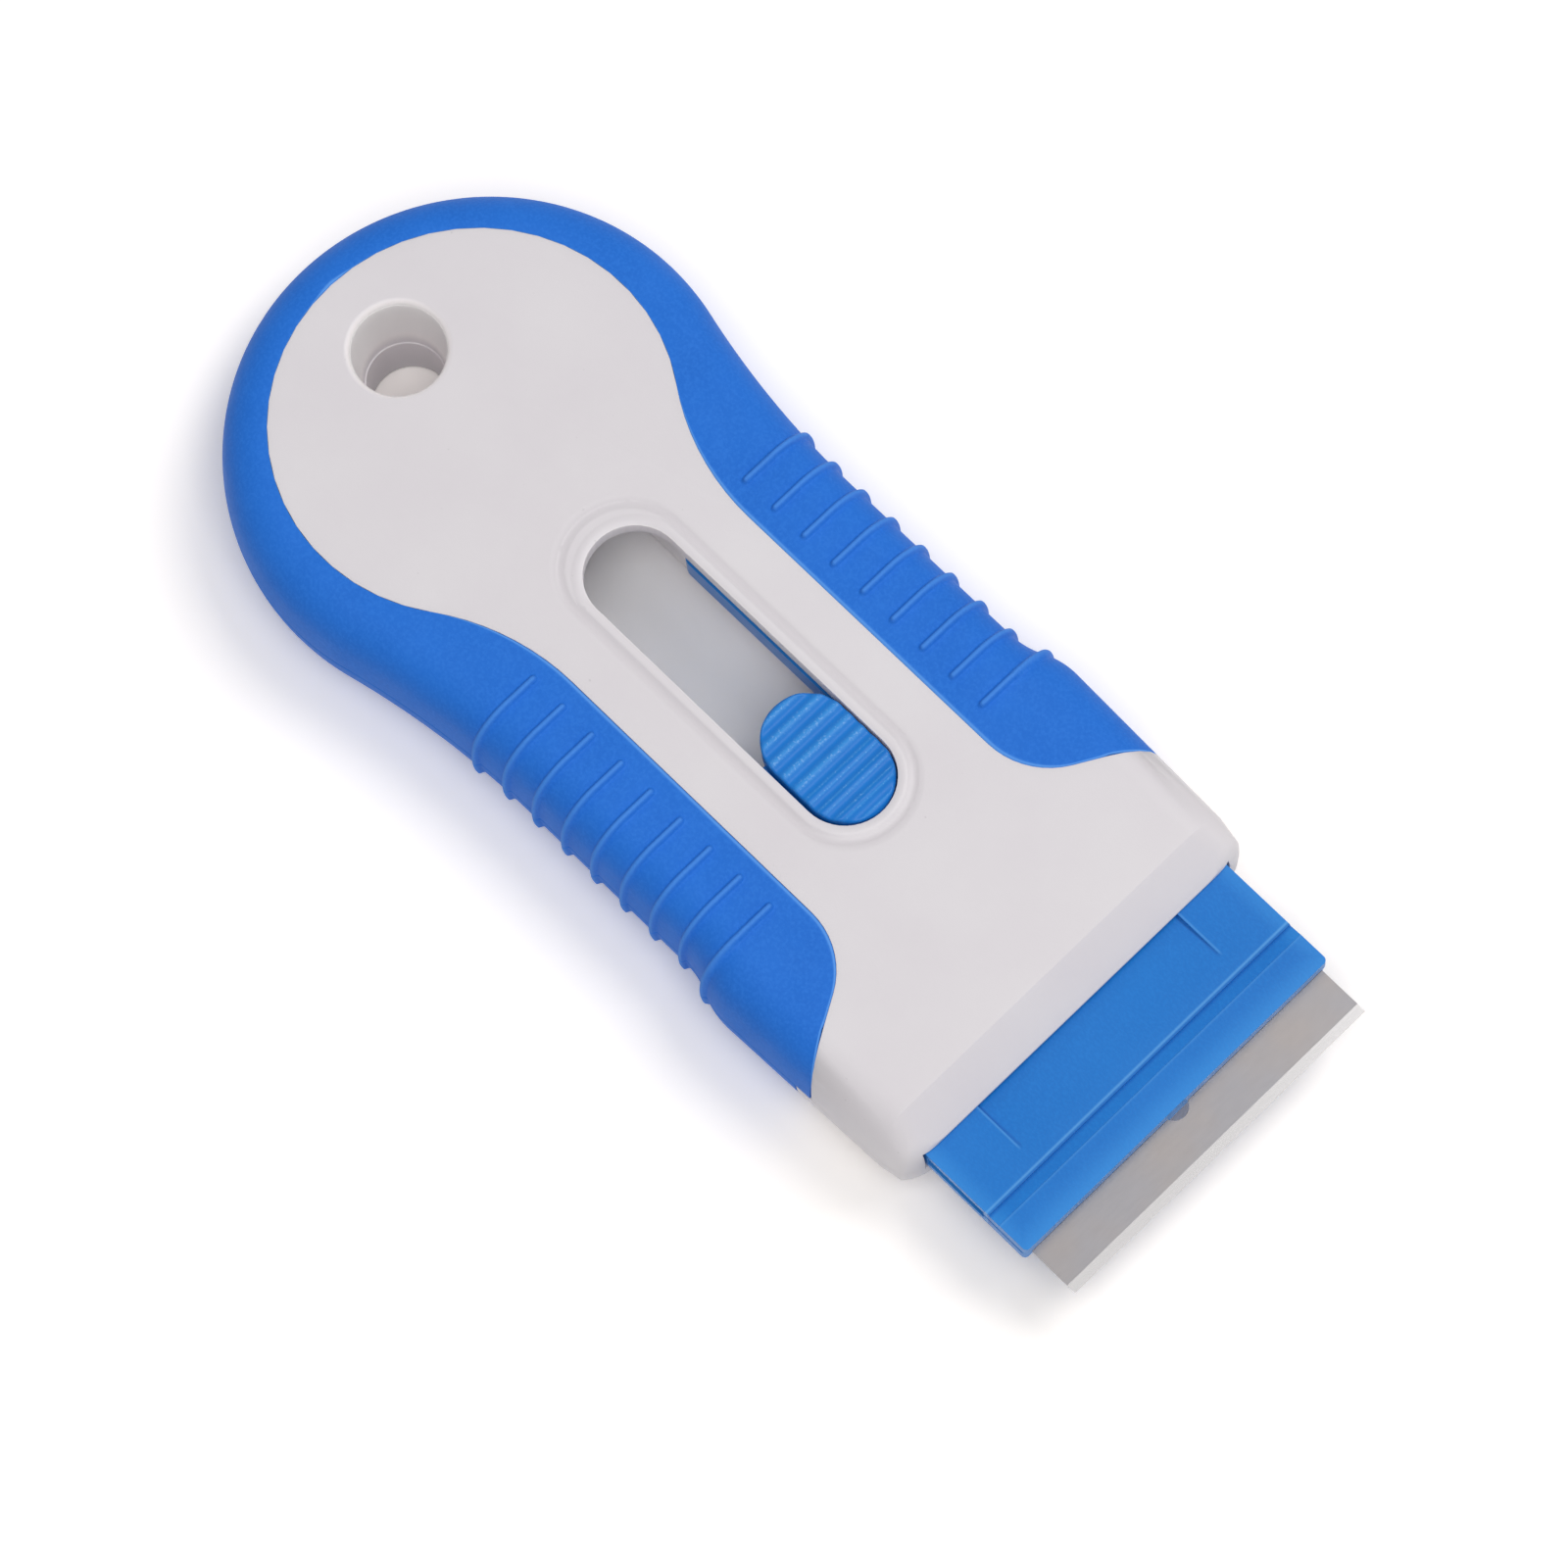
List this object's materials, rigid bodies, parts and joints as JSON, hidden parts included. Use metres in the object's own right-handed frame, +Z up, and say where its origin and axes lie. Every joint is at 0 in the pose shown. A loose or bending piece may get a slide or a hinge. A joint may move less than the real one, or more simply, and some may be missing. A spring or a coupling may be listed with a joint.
{
  "type": "razor blade scraper",
  "caption": "Pocket scraper with a rounded two-part handle, soft ribbed side grips, a hanging hole and a sliding carrier that holds a single-edged blade.",
  "frame": {"origin": "on the axis of the hanging hole, at the underside of the lower shell", "axes": "+X along the handle towards the cutting edge, +Z up out of the face with the slot, XZ the plane of symmetry"},
  "size_m": [0.1239, 0.0506, 0.0153],
  "materials": {
    "shell": "satin moulded plastic, pale warm grey white",
    "grip": "soft matt blue overmould",
    "carrier": "satin blue moulded plastic",
    "button": "satin blue moulded plastic, waved",
    "blade_steel": "ground sheet steel with a bright edge",
    "spine_metal": "bright rolled sheet",
    "spring_steel": "drawn wire",
    "screw_steel": "zinc plated"
  },
  "bodies": {
    "housing": {"upper_shell": "shell", "lower_shell": "shell", "upper_grip": "grip", "lower_grip": "grip", "shell_screws": "screw_steel"},
    "carrier": {"blade_carrier": "carrier", "button_spring": "spring_steel"},
    "button": {"thumb_button": "button"},
    "blade": {"blade": "blade_steel", "blade_spine": "spine_metal"}
  },
  "joints": [
    {"name": "carrier_slide", "type": "slide", "parent": "housing", "child": "carrier", "axis": [1, 0, 0], "range_m": [-0.022, 0]},
    {"name": "blade_slide", "type": "slide", "parent": "carrier", "child": "blade", "axis": [0, -1, 0], "range_m": [0, 0.045]},
    {"name": "button_press", "type": "slide", "parent": "carrier", "child": "button", "axis": [0, 0, 1], "range_m": [-0.0012, 0], "stiffness_N_per_m": 600, "springref_m": 0.0008, "deforming": ["button_spring"]}
  ]
}
